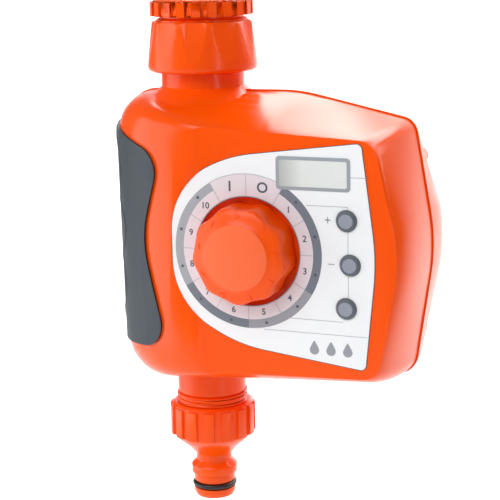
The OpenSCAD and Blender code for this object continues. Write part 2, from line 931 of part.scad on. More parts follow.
// A wheel that drives the next pinion down: wheel, pinion and hub on one axle
module double_gear(centre, pinion_phase, wheel_phase, pinion_x, wheel_x, hub_x) {
    difference() {
        union() {
            spur(pinion_teeth, centre, pinion_phase, pinion_x, wheel_x + 0.1);
            spur(wheel_teeth, centre, wheel_phase, wheel_x, wheel_x + gear_t);
            rod_x(centre[0], centre[1], 2, pinion_x, hub_x);
        }
        rod_x(centre[0], centre[1], axle_r + run_gap, 0, 40);
    }
}

// Wheel on the valve spindle, with the lug that the end switches feel
module output_gear() {
    lug_angle = -135;
    lug_r = wheel_teeth * gear_m / 2 + 2.1;
    color([0.9, 0.88, 0.8])
        difference() {
            union() {
                spur(wheel_teeth, output_centre, step_angles[0], plane_a, plane_a + gear_t);
                rod_x(0, ball_z, 5, base_plate_x[1] + 0.3, plane_a + gear_t);
                translate([plane_a, 0, ball_z])
                    rotate([90, 0, 90])
                        linear_extrude(gear_t)
                            polygon([
                                [0, 0],
                                lug_r * [cos(lug_angle - 7), sin(lug_angle - 7)],
                                lug_r * [cos(lug_angle + 7), sin(lug_angle + 7)]
                            ]);
            }
            rod_x(0, ball_z, 3, 0, 40);
        }
}

module gear_2() {
    color([0.9, 0.88, 0.8])
        double_gear(gear_2_centre, step_angles[0] + 180 + 180 / pinion_teeth, step_angles[1],
                    plane_a - 0.3, plane_b, cover_plate_x[0] - 0.3);
}

module gear_1() {
    color([0.9, 0.88, 0.8])
        double_gear(gear_1_centre, step_angles[1] + 180 + 180 / pinion_teeth, step_angles[2],
                    plane_b - 0.3, plane_c, cover_plate_x[0] - 0.3);
}

// Pinion on the motor's shaft
module motor_pinion() {
    color(steel)
        union() {
            spur(pinion_teeth, motor_centre, step_angles[2] + 180 + 180 / pinion_teeth,
                 plane_c, plane_c + gear_t);
            rod_x(motor_centre[0], motor_centre[1], axle_r, plane_c + 1, 36);
        }
}

motor_x = [29.4, 54.4];
motor_r = 10;

// Small direct current motor with flattened sides
module motor() {
    color(steel)
        difference() {
            union() {
                intersection() {
                    rod_x(motor_centre[0], motor_centre[1], motor_r, motor_x[0], motor_x[1]);
                    box([0, motor_centre[0] - 7.6, -80], [60, motor_centre[0] + 7.6, -30]);
                }
                rod_x(motor_centre[0], motor_centre[1], 3, motor_x[1] - 0.1, motor_x[1] + 1.2);
            }
            rod_x(motor_centre[0], motor_centre[1], axle_r + run_gap, 0, 38);
        }
}

// Fixed axles of the two double gears
module gear_axles() {
    color(steel)
        for (c = [gear_1_centre, gear_2_centre])
            rod_x(c[0], c[1], axle_r, base_plate_x[0] + 0.2, cover_plate_x[1] - 0.2);
}

post_places = [[-14.5, -46], [16, -48.5], [-14.5, -88], [16, -104]];
// Tops of the gearbox plates, in front and where the case rounds off behind
plate_top = -42.5;
plate_back_top = -46;
plate_back_y = 12;

// Plate beside the valve that carries the axles and four posts
module gearbox_base() {
    color([0.85, 0.85, 0.82])
        difference() {
            union() {
                box([base_plate_x[0], -17, -119], [base_plate_x[1], plate_back_y, plate_top]);
                box([base_plate_x[0], -17, -119], [base_plate_x[1], 19, plate_back_top]);
                for (p = post_places)
                    rod_x(p[0], p[1], 2.2, base_plate_x[0], cover_plate_x[0]);
            }
            rod_x(0, ball_z, 3.2, 0, 40);
            for (c = [gear_1_centre, gear_2_centre])
                rod_x(c[0], c[1], axle_r, base_plate_x[0] + 0.2, 40);
            for (p = post_places)
                rod_x(p[0], p[1], 0.92, 20, 40);
        }
}

// Plate that closes the gear train and carries the motor
module gearbox_cover() {
    color([0.85, 0.85, 0.82])
        difference() {
            union() {
                box([cover_plate_x[0], -17, -92], [cover_plate_x[1], plate_back_y, plate_top]);
                box([cover_plate_x[0], -17, -92], [cover_plate_x[1], 19, plate_back_top]);
                box([cover_plate_x[0], 4, -108], [cover_plate_x[1], 19, -91]);
            }
            rod_x(motor_centre[0], motor_centre[1], 2, 0, 40);
            for (c = [gear_1_centre, gear_2_centre])
                rod_x(c[0], c[1], axle_r, 0, cover_plate_x[1] - 0.2);
            for (p = post_places)
                rod_x(p[0], p[1], 1.1, 20, 40);
        }
}

// Four screws through the cover plate into the posts
module gearbox_screws() {
    color(steel)
        for (p = post_places)
            union() {
                rod_x(p[0], p[1], 2, cover_plate_x[1], cover_plate_x[1] + 1.3);
                rod_x(p[0], p[1], 0.9, 21, cover_plate_x[1] + 0.5);
            }
}

// Two end switches that feel the output gear's lug
module limit_switches() {
    color([0.2, 0.2, 0.22])
        for (a = [-135, -45])
            translate([base_plate_x[1], 0, ball_z])
                rotate([a, 0, 0])
                    box([0, 15.2, -2.5], [4.5, 20.2, 2.5]);
}

// ---------------------------------------------------------------- power

tray_wall = 1.4;
tray_front = 3.2;
cell_r = 7.1;
cell_y = tray_front + tray_wall + cell_r + 0.2;
cell_x = [45.6, 60.4];

// Tray for the two cells
module battery_box() {
    color([0.15, 0.15, 0.16])
        difference() {
            box([door_hole_x[0] - tray_wall, tray_front, door_hole_z[0] - tray_wall],
                [door_hole_x[1] + tray_wall, rear_depth - wall - 2.02, door_hole_z[1] + tray_wall]);
            box([door_hole_x[0], tray_front + tray_wall, door_hole_z[0]],
                [door_hole_x[1], rear_depth, door_hole_z[1]]);
        }
}

// A cell along Z; tip is 1 with its pip upwards and -1 with it down
module cell(x, tip) {
    middle = (door_hole_z[0] + door_hole_z[1]) / 2;
    translate([x, cell_y, middle])
        union() {
            rod_z(cell_r, -24.6, 24.6);
            rod_z(2.7, 0, tip * 25.6);
        }
}

module battery_1() {
    color([0.2, 0.35, 0.3])
        cell(cell_x[0], 1);
}

module battery_2() {
    color([0.2, 0.35, 0.3])
        cell(cell_x[1], -1);
}

// Contact plates at both ends of the tray
module battery_contacts() {
    plate_t = 0.4;
    top = door_hole_z[1];
    bottom = door_hole_z[0];
    color(steel)
        union() {
            for (x = cell_x) {
                box([x - 5, cell_y - 5, top - plate_t], [x + 5, cell_y + 5, top]);
                translate([x, cell_y, 0])
                    rod_z(1.6, top - 0.9, top);
            }
            box([cell_x[0] - 5, cell_y - 5, bottom], [cell_x[1] + 5, cell_y + 5, bottom + plate_t]);
        }
}

// Rear door over the cells
module battery_door() {
    lip_z = -93;
    color(orange)
        difference() {
            union() {
                box([door_x[0], rear_depth - door_t, door_z[0]], [door_x[1], rear_depth, door_z[1]]);
                box([door_x[1] - 5, rear_depth - 0.1, lip_z - 8], [door_x[1] - 2.5, rear_depth + 1.2, lip_z + 8]);
                rod_z_at(hinge_x, hinge_y, knuckle_r, knuckle_z[1], knuckle_z[2]);
                box([hinge_x, rear_depth - 1.6, knuckle_z[1]], [door_x[0] + 0.1, rear_depth, knuckle_z[2]]);
            }
            rod_z_at(hinge_x, hinge_y, 0.8 + run_gap, -130, -60);
        }
}

// Ring around the battery opening; grow widens it for its groove
module door_seal_ring(grow) {
    outer = 2;
    inner = 0.8;
    difference() {
        box([door_hole_x[0] - outer - grow, rear_depth - door_t - 1 - grow, door_hole_z[0] - outer - grow],
            [door_hole_x[1] + outer + grow, rear_depth - door_t - 0.05 + grow, door_hole_z[1] + outer + grow]);
        box([door_hole_x[0] - inner + grow, 0, door_hole_z[0] - inner + grow],
            [door_hole_x[1] + inner - grow, 60, door_hole_z[1] + inner - grow]);
    }
}

module door_seal() {
    color(rubber)
        door_seal_ring(0);
}

module door_hinge_pin() {
    color(steel)
        rod_z_at(hinge_x, hinge_y, 0.8, knuckle_z[0], knuckle_z[3]);
}

lead_r = 0.7;
motor_lead_routes = [
    [[54.5, 3, -57], [56.5, 2, -58], [57.5, -4, -59.5], [57, -11, -61.5], [56, -18.2, -63]],
    [[54.5, 9, -57], [58, 8, -58.5], [61.5, 0, -60.5], [61, -10, -62.5], [60, -18.2, -64]]
];
battery_lead_routes = [
    [[45.6, 3.1, -70], [45.6, 0, -70], [46, -6, -71.5], [46, -13, -72], [46, -18.2, -72]],
    [[60.4, 3.1, -70], [60.4, 0, -70], [60, -6, -71.5], [60, -13, -72], [60, -18.2, -72]]
];

// A smooth curve through hand-placed points, with the given steps between two of them
function smooth_route(p, steps) =
    let (last = len(p) - 1)
    concat(
        [for (i = [0 : last - 1], k = [0 : steps - 1])
            let (
                t = k / steps,
                a = p[max(i - 1, 0)],
                b = p[i],
                c = p[i + 1],
                d = p[min(i + 2, last)]
            )
            0.5 * (2 * b + (c - a) * t + (2 * a - 5 * b + 4 * c - d) * t * t
                + (3 * b - a - 3 * c + d) * t * t * t)],
        [p[last]]
    );

// A round lead along a route that never runs parallel to Z
module lead(route) {
    sides = 8;
    p = smooth_route(route, 3);
    n = len(p);
    points = [for (i = [0 : n - 1])
        let (
            t = unit(p[min(i + 1, n - 1)] - p[max(i - 1, 0)]),
            u = unit(cross(t, [0, 0, 1])),
            v = cross(t, u)
        )
        for (k = [0 : sides - 1])
            p[i] + lead_r * (cos(k * 360 / sides) * u + sin(k * 360 / sides) * v)];
    skin = [for (i = [0 : n - 2], k = [0 : sides - 1])
        let (a = i * sides + k, b = i * sides + (k + 1) % sides)
        each [[a, a + sides, b + sides], [a, b + sides, b]]];
    first_cap = [for (k = [0 : sides - 1]) k];
    last_cap = [for (k = [0 : sides - 1]) n * sides - 1 - k];
    polyhedron(points, concat(skin, [first_cap, last_cap]));
}

module motor_leads() {
    color([0.7, 0.1, 0.1])
        for (route = motor_lead_routes)
            lead(route);
}

module battery_leads() {
    color([0.1, 0.1, 0.1])
        for (route = battery_lead_routes)
            lead(route);
}

tap_reducer();
reducer_gasket();
inlet_nut();
inlet_gasket();
inlet_filter();
valve_body();
valve_ball();
ball_seats();
valve_stem();
stem_orings();
outlet_union();
union_oring();
connector_gasket();
hose_connector();
connector_oring();
front_shell();
rear_shell();
front_grip();
rear_grip();
shell_seal();
shell_screws();
panel_plate();
lcd_lens();
lcd_module();
button_plus();
button_minus();
button_run();
plunger_plus();
plunger_minus();
plunger_run();
program_knob();
knob_shaft();
knob_seal();
rotary_switch();
pcb();
pcb_screws();
tact_switches();
controller_chip();
gearbox_base();
gearbox_cover();
gearbox_screws();
gear_axles();
output_gear();
gear_2();
gear_1();
motor_pinion();
motor();
limit_switches();
battery_box();
battery_1();
battery_2();
battery_contacts();
battery_door();
door_seal();
door_hinge_pin();
motor_leads();
battery_leads();
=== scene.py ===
"""Drip irrigation timer: finished surfaces and pieces around the fixed frame.

Each group of like pieces has an operator of its own, and the sizes and colours that a user would
change are properties. Lengths are in metres.
"""
import json
import math

import bmesh
import bpy
from mathutils import Matrix, Vector
from mathutils.bvhtree import BVHTree


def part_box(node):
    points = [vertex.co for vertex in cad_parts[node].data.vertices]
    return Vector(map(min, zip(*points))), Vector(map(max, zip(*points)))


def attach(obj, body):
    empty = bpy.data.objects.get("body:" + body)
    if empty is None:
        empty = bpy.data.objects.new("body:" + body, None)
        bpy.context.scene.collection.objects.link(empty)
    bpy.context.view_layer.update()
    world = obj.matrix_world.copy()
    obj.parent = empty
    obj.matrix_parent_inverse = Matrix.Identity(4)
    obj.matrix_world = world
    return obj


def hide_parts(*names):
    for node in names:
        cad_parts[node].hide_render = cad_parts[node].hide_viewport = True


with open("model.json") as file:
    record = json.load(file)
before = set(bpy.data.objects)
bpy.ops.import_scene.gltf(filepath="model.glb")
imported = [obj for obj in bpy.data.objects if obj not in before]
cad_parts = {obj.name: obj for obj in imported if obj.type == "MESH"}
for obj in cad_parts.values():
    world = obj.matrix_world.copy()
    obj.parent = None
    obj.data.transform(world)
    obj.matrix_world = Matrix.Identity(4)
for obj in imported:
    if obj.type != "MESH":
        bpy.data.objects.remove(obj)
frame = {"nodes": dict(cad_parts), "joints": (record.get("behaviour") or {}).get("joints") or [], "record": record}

bl_info = {
    "name": "Drip irrigation timer",
    "version": (1, 0, 0),
    "blender": (4, 5, 0),
    "location": "3D View > Sidebar > Irrigation timer",
    "description": "Builds the finished surfaces of a drip irrigation timer around its frame",
    "category": "Object",
}

MM = 0.001
TURN = 2 * math.pi
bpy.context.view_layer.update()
BODY = "timer_body"
# Turns a shape made along +Z so that it points out of the control panel, along -Y
TO_PANEL = Matrix.Rotation(math.pi / 2, 4, "X")


def joint_place(name):
    """The point on a joint's axis, in the frame."""
    return Vector(next(j for j in frame["joints"] if j["name"] == name)["pos_m"])


def node_middle(node):
    """The middle of a node's box."""
    low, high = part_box(node)
    return (low + high) / 2


DIAL = joint_place("knob_turn")
PANEL_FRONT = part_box("panel_plate")[0].y
WELL_R = 19.25 * MM
MERGE = 2e-6
CELL_BAND_Z = -0.083
CORNER_STEPS = 6
# Where the camera stands, its lens in mm, and how far it is swung round, raised and rolled, in degrees
CAMERA_PLACE = (0.2179, -0.49, 0.0241)
CAMERA_LENS = 106.2
CAMERA_ANGLES = (22.32, 12.33, -1.31)
BUTTONS = {name: node_middle("button_" + name) for name in ("plus", "minus", "run")}
CAP_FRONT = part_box("button_plus")[0].y
LCD = node_middle("lcd_lens")


# ------------------------------------------------------------------ shader maths


class Value:
    """A shader socket that can be used in expressions; each operation adds a Math node."""

    def __init__(self, shader, socket):
        self.shader = shader
        self.socket = socket

    def _math(self, operation, a, b):
        return self.shader.node("ShaderNodeMath", {"operation": operation}, {0: a, 1: b})

    def __add__(self, other):
        return self._math("ADD", self, other)

    def __radd__(self, other):
        return self._math("ADD", other, self)

    def __sub__(self, other):
        return self._math("SUBTRACT", self, other)

    def __rsub__(self, other):
        return self._math("SUBTRACT", other, self)

    def __mul__(self, other):
        return self._math("MULTIPLY", self, other)

    def __rmul__(self, other):
        return self._math("MULTIPLY", other, self)

    def __gt__(self, other):
        return self._math("GREATER_THAN", self, other)

    def clamped(self):
        """The value kept between 0 and 1."""
        return self.shader.node("ShaderNodeClamp", {}, {"Value": self})


class Shader:
    """A Principled material whose nodes are added by one method."""

    def __init__(self, name):
        self.material = bpy.data.materials.new(name)
        self.material.use_nodes = True
        self.tree = self.material.node_tree
        self.surface = self.tree.nodes["Principled BSDF"]

    def node(self, kind, settings=None, inputs=None, output=0):
        """Adds a node, sets it up, fills its sockets with values or links, and gives one output."""
        made = self.tree.nodes.new(kind)
        for key, value in (settings or {}).items():
            if key == "stops":
                self._set_stops(made.color_ramp, value)
            else:
                setattr(made, key, value)
        for key, value in (inputs or {}).items():
            self._fill(made.inputs[key], value)
        return Value(self, made.outputs[output])

    def _fill(self, socket, value):
        if isinstance(value, Value):
            self.tree.links.new(value.socket, socket)
        else:
            socket.default_value = value

    @staticmethod
    def _set_stops(ramp, stops):
        while len(ramp.elements) < len(stops):
            ramp.elements.new(0.5)
        for element, (position, colour) in zip(ramp.elements, stops):
            element.position = position
            element.color = (*colour, 1)

    def set(self, **inputs):
        """Sets inputs of the surface; underscores in names stand for spaces."""
        for key, value in inputs.items():
            self._fill(self.surface.inputs[key.replace("_", " ")], value)

    def place(self):
        """Object coordinates."""
        return self.node("ShaderNodeTexCoord", output=3)

    def noise(self, scale, detail=2.0, rough=0.5):
        """Noise over object coordinates; scale is in features per metre."""
        sockets = {"Vector": self.place(), "Scale": scale, "Detail": detail, "Roughness": rough}
        return self.node("ShaderNodeTexNoise", {}, sockets)

    def mix(self, share, a, b):
        """A colour between a and b."""
        settings = {"data_type": "RGBA"}
        return self.node("ShaderNodeMix", settings, {0: share, 6: (*a, 1) if isinstance(a, tuple) else a,
                                                     7: (*b, 1) if isinstance(b, tuple) else b}, 2)

    def bump(self, height, distance, strength=1.0):
        """Surface relief; distance is the full height in metres."""
        sockets = {"Height": height, "Distance": distance, "Strength": strength}
        self.set(Normal=self.node("ShaderNodeBump", {}, sockets))


def scaled(colour, factor):
    """A colour made lighter or darker."""
    return tuple(min(1.0, c * factor) for c in colour)


def moulded(name, colour, rough, spread=0.12, grain=1500.0, relief=0.004):
    """Moulded plastic: slow shifts of colour, handling haze and a fine skin."""
    s = Shader(name)
    cloud = s.noise(22.0, 3.0)
    skin = s.noise(grain, 2.0)
    s.set(Base_Color=s.mix(cloud, scaled(colour, 1 - spread), scaled(colour, 1 + spread)))
    s.set(Roughness=(rough * 0.75 + s.noise(60.0, 4.0) * (rough * 0.5)).clamped())
    s.bump(skin, relief * MM)
    s.set(Specular_IOR_Level=0.3)
    return s.material


def rubber(name, colour, rough=0.55):
    """Soft rubber with a fine stipple and dusty patches."""
    s = Shader(name)
    dust = s.noise(90.0, 5.0, 0.6)
    stipple = s.node("ShaderNodeTexVoronoi", {}, {"Vector": s.place(), "Scale": 2200.0})
    s.set(Base_Color=s.mix(dust, scaled(colour, 0.8), scaled(colour, 1.35)))
    s.set(Roughness=(rough - 0.08 + dust * 0.18).clamped())
    s.bump(stipple, 0.03 * MM, 0.5)
    return s.material


def brushed(name, colour, rough):
    """Turned or rolled metal with fine streaks."""
    s = Shader(name)
    turned = s.node("ShaderNodeMapping", {}, {"Vector": s.place(), "Scale": (1.0, 30.0, 30.0)})
    streaks = s.node("ShaderNodeTexNoise", {}, {"Vector": turned, "Scale": 160.0, "Detail": 4.0})
    s.set(Base_Color=s.mix(streaks, scaled(colour, 0.8), scaled(colour, 1.1)), Metallic=1.0)
    s.set(Roughness=(rough * 0.7 + streaks * (rough * 0.6)).clamped())
    s.bump(streaks, 0.006 * MM)
    return s.material


def printed(name, colour, rough=0.38):
    """Printed film: even ink with a faint screen texture."""
    s = Shader(name)
    cloud = s.noise(40.0, 2.0)
    screen = s.noise(4000.0, 1.0)
    s.set(Base_Color=s.mix(cloud, scaled(colour, 0.97), scaled(colour, 1.02)))
    s.set(Roughness=(rough - 0.04 + cloud * 0.08).clamped())
    s.bump(screen, 0.002 * MM)
    return s.material


def window_glass(name, colour):
    """Clear window: thin tinted glass with faint smears."""
    s = Shader(name)
    smear = s.noise(130.0, 4.0)
    s.set(Base_Color=s.mix(smear, scaled(colour, 0.96), colour), Roughness=(0.04 + smear * 0.08).clamped())
    s.set(Alpha=0.28, Specular_IOR_Level=0.6)
    s.bump(smear, 0.004 * MM)
    return s.material


def lcd_screen(name, colour):
    """Liquid crystal display: faint rows, and a darker edge where the frame shades its left end."""
    s = Shader(name)
    rows = s.node("ShaderNodeTexWave", {"bands_direction": "Z"}, {"Vector": s.place(), "Scale": 260.0})
    haze = s.noise(70.0, 2.0)
    across = s.node("ShaderNodeSeparateXYZ", {}, {0: s.place()})
    lit = ((across - (LCD.x - 13 * MM)) * (1 / (9 * MM))).clamped()
    plain = s.mix(rows * 0.1 + haze * 0.4, scaled(colour, 0.95), scaled(colour, 1.03))
    s.set(Base_Color=s.mix(lit, scaled(colour, 0.55), plain), Roughness=(0.25 + haze * 0.15).clamped())
    s.bump(rows, 0.002 * MM)
    return s.material


def circuit_board(name, colour):
    """Lacquered board with lighter copper tracks under the lacquer."""
    s = Shader(name)
    tracks = s.node("ShaderNodeTexBrick", {"offset": 0.4}, {
        "Vector": s.node("ShaderNodeMapping", {}, {"Vector": s.place(), "Rotation": (math.pi / 2, 0, 0)}),
        "Scale": 60.0, "Mortar Size": 0.05,
        "Color1": (*colour, 1), "Color2": (*scaled(colour, 1.1), 1), "Mortar": (*scaled(colour, 1.9), 1),
    })
    s.set(Base_Color=tracks, Roughness=(0.25 + s.noise(120.0) * 0.15).clamped())
    s.bump(s.noise(900.0), 0.01 * MM)
    return s.material


def cell_label(name, colour, band):
    """Cell wrap with a coloured band at one end."""
    s = Shader(name)
    up = s.node("ShaderNodeSeparateXYZ", {}, {0: s.place()}, 2)
    wear = s.noise(200.0, 4.0)
    s.set(Base_Color=s.mix(up > CELL_BAND_Z, scaled(colour, 1.0), band), Metallic=0.3)
    s.set(Roughness=(0.25 + wear * 0.2).clamped())
    s.bump(wear, 0.004 * MM)
    return s.material


# ------------------------------------------------------------------ modelling helpers


def add_object(name, mesh, material, body, *replaced, slot=None):
    """Puts a mesh in the scene as a piece that moves with a body."""
    obj = bpy.data.objects.new(name, mesh)
    bpy.context.scene.collection.objects.link(obj)
    if material is not None:
        mesh.materials.append(material)
    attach(obj, body)
    if replaced:
        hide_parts(*replaced)
    return obj


def finish_mesh(bm, name, sharp_deg=35.0):
    """Turns a bmesh into a smooth-shaded mesh with sharp edges kept."""
    bmesh.ops.recalc_face_normals(bm, faces=bm.faces)
    for face in bm.faces:
        face.smooth = True
    mesh = bpy.data.meshes.new(name)
    bm.to_mesh(mesh)
    bm.free()
    mesh.set_sharp_from_angle(angle=math.radians(sharp_deg))
    return mesh


def fail_if(condition, message):
    """Stops an operator that can't finish."""
    if condition:
        raise RuntimeError(message)


def ring_stack(bm, levels, radius_at, segments):
    """Rings up the Z axis, each joined to the last.

    levels are heights and radius_at(level index, angle) gives each vertex its distance from the
    axis. The ends are capped.
    """
    ring = bmesh.ops.create_circle(bm, cap_ends=False, segments=segments, radius=1.0)["verts"]
    edges = first = list({e for v in ring for e in v.link_edges})
    for index, height in enumerate(levels):
        if index:
            grown = bmesh.ops.extrude_edge_only(bm, edges=edges)["geom"]
            edges = [g for g in grown if isinstance(g, bmesh.types.BMEdge)]
            ring = [g for g in grown if isinstance(g, bmesh.types.BMVert)]
        for vert in ring:
            angle = math.atan2(vert.co.y, vert.co.x)
            r = radius_at(index, angle)
            vert.co = (r * math.cos(angle), r * math.sin(angle), height)
    for end in (first, edges):
        bmesh.ops.edgeloop_fill(bm, edges=end)


def turned(bm, profile, segments=96):
    """A full turn of (radius, height) points about Z; the profile may start or end on the axis."""
    verts = [bm.verts.new((r, 0, z)) for r, z in profile]
    edges = [bm.edges.new(pair) for pair in zip(verts, verts[1:])]
    bmesh.ops.spin(bm, geom=verts + edges, axis=(0, 0, 1), cent=(0, 0, 0), angle=TURN,
                   steps=segments, use_merge=True)
    bmesh.ops.remove_doubles(bm, verts=bm.verts, dist=1e-7)


def sector(bm, r0, r1, a0, a1, depth, y):
    """A flat arc on the panel around the dial, from clock angle a0 to a1 in degrees."""
    steps = max(2, round(abs(a1 - a0) / 3))
    start = math.radians(90 - a0)
    ends = [bm.verts.new((r * math.cos(start), 0, r * math.sin(start))) for r in (r0, r1)]
    edge = bm.edges.new(ends)
    bmesh.ops.spin(bm, geom=ends + [edge], axis=(0, 1, 0), cent=(0, 0, 0), steps=steps,
                   angle=math.radians(a1 - a0), use_merge=False)
    flat = [v for v in bm.verts if v.is_valid and not v.tag]
    for v in flat:
        v.co += Vector((DIAL.x, y, DIAL.z))
        v.tag = True
    faces = [f for f in bm.faces if all(v in set(flat) for v in f.verts)]
    thicken(bm, faces, depth)


def thicken(bm, faces, depth):
    """Raises flat faces into a thin slab whose outer side is depth nearer the viewer."""
    raised = bmesh.ops.extrude_face_region(bm, geom=faces)["geom"]
    tops = [g for g in raised if isinstance(g, bmesh.types.BMVert)]
    bmesh.ops.translate(bm, verts=tops, vec=(0, -depth, 0))
    for v in tops:
        v.tag = True


def bar(bm, start, end, width, depth, y):
    """A straight raised line on the panel between two (x, z) places."""
    a, b = Vector((start[0], 0, start[1])), Vector((end[0], 0, end[1]))
    along = b - a
    turn = Matrix.Rotation(-math.atan2(along.z, along.x), 4, "Y")
    middle = Matrix.Translation((a + b) / 2 + Vector((0, y - depth / 2, 0)))
    size = Matrix.Diagonal((along.length, depth, width, 1))
    made = bmesh.ops.create_cube(bm, size=1.0, matrix=middle @ turn @ size)["verts"]
    for v in made:
        v.tag = True


def disc(bm, x, z, radius, depth, y, segments=24):
    """A raised dot on the panel; gives its vertices."""
    place = Matrix.Translation((x, y - depth / 2, z)) @ TO_PANEL
    made = bmesh.ops.create_cone(bm, cap_ends=True, segments=segments, radius1=radius,
                                 radius2=radius, depth=depth, matrix=place)["verts"]
    for v in made:
        v.tag = True
    return made


def rounded_bar(bm, x, z, width, height, corner, depth, y0):
    """A block with rounded corners seen from the front, from y0 outwards by depth."""
    place = Matrix.Translation((x, y0 - depth / 2, z)) @ Matrix.Diagonal((width, depth, height, 1))
    made = bmesh.ops.create_cube(bm, size=1.0, matrix=place)["verts"]
    edges = {e for v in made for e in v.link_edges
             if abs(e.verts[0].co.y - e.verts[1].co.y) > depth / 2}
    bmesh.ops.bevel(bm, geom=list(edges), offset=corner, offset_type="OFFSET", segments=CORNER_STEPS,
                    profile=0.5, affect="EDGES", material=-1)


def written(name, text, x, z, size, depth, y, material):
    """Generic characters on the panel, as a mesh."""
    curve = bpy.data.curves.new(name, "FONT")
    curve.body = text
    curve.size = size
    curve.align_x = "CENTER"
    curve.align_y = "CENTER"
    curve.extrude = depth / 2
    curve.offset = size * 0.02
    helper = bpy.data.objects.new(name, curve)
    bpy.context.scene.collection.objects.link(helper)
    mesh = bpy.data.meshes.new_from_object(helper.evaluated_get(bpy.context.evaluated_depsgraph_get()))
    bpy.data.objects.remove(helper)
    mesh.transform(Matrix.Translation((x, y - depth / 2, z)) @ TO_PANEL)
    return add_object(name, mesh, material, BODY, slot="printed_panel")


def copy_of(node, name):
    """A bmesh copy of a CAD node with its doubled vertices merged."""
    bm = bmesh.new()
    bm.from_mesh(frame["nodes"][node].data)
    bmesh.ops.remove_doubles(bm, verts=bm.verts, dist=MERGE)
    fail_if(not bm.faces, f"{name}: the frame has no faces for {node}")
    return bm


def soften(obj, width, segments=3, angle_deg=30.0):
    """Rounds a piece's hard edges with a small bevel that keeps its size."""
    bevel = obj.modifiers.new("Rounded edges", "BEVEL")
    bevel.width = width
    bevel.segments = segments
    bevel.limit_method = "ANGLE"
    bevel.angle_limit = math.radians(angle_deg)
    bevel.harden_normals = True
    bevel.miter_outer = "MITER_ARC"


def moulded_copy(node, name, material, body, slot, width, sharp_deg=35.0, flat_deg=0.5, segments=2):
    """A CAD node's shape with rounded edges and smooth shading, in its place."""
    bm = copy_of(node, name)
    bmesh.ops.dissolve_limit(bm, angle_limit=math.radians(flat_deg), use_dissolve_boundaries=False,
                             verts=bm.verts, edges=bm.edges)
    obj = add_object(name, finish_mesh(bm, name, sharp_deg), material, body, node, slot=slot)
    if width:
        soften(obj, width, segments)
    return obj


# ------------------------------------------------------------------ sizes and colours


def size_mm(name, description, default):
    """A length property whose default is given in millimetres."""
    return bpy.props.FloatProperty(name=name, description=description, default=default * MM,
                                   min=0.0, subtype="DISTANCE", unit="LENGTH", precision=5)


def colour_of(name, description, default):
    """A colour property."""
    return bpy.props.FloatVectorProperty(name=name, description=description, default=default,
                                         size=3, min=0.0, max=1.0, subtype="COLOR")


class TimerSizes(bpy.types.PropertyGroup):
    """Sizes of the finished surfaces."""

    case_edge: size_mm("Case edge", "Rounding of the case's hard edges", 0.35)
    fitting_edge: size_mm("Fitting edge", "Rounding of edges on the water fittings", 0.25)
    print_depth: size_mm("Print thickness", "How far printed marks stand off the panel", 0.03)
    line_width: size_mm("Printed line", "Width of the panel's printed lines", 0.22)
    notch_count: bpy.props.IntProperty(name="Knob notches", description="Lobes round the knob's skirt",
                                       default=9, min=3, max=16)


class TimerColours(bpy.types.PropertyGroup):
    """Colours of the materials."""

    orange: colour_of("Case orange", "Moulded case and fittings", (1.0, 0.088, 0.001))
    knob_face: colour_of("Knob face", "Matt disc on the front of the knob", (1.0, 0.15, 0.045))
    grip: colour_of("Grip", "Soft grip over the pipe side of the case", (0.019, 0.031, 0.042))
    panel: colour_of("Panel", "Printed panel film", (0.88, 0.9, 0.92))
    ink_dark: colour_of("Dark ink", "Darker sectors of the dial print", (0.17, 0.195, 0.235))
    ink_mid: colour_of("Middle ink", "Middle sectors of the dial print", (0.32, 0.33, 0.37))
    ink_light: colour_of("Light ink", "Paler sectors of the dial print", (0.37, 0.4, 0.44))
    ink_wash: colour_of("Wash", "Inner ring of the dial print", (0.76, 0.7, 0.745))
    button: colour_of("Button", "Inner disc of the buttons", (0.29, 0.31, 0.37))
    button_rim: colour_of("Button rim", "Outer ring of the buttons", (0.12, 0.135, 0.155))
    screen: colour_of("Screen", "Display glass", (0.76, 0.79, 0.775))


MATERIALS = {}


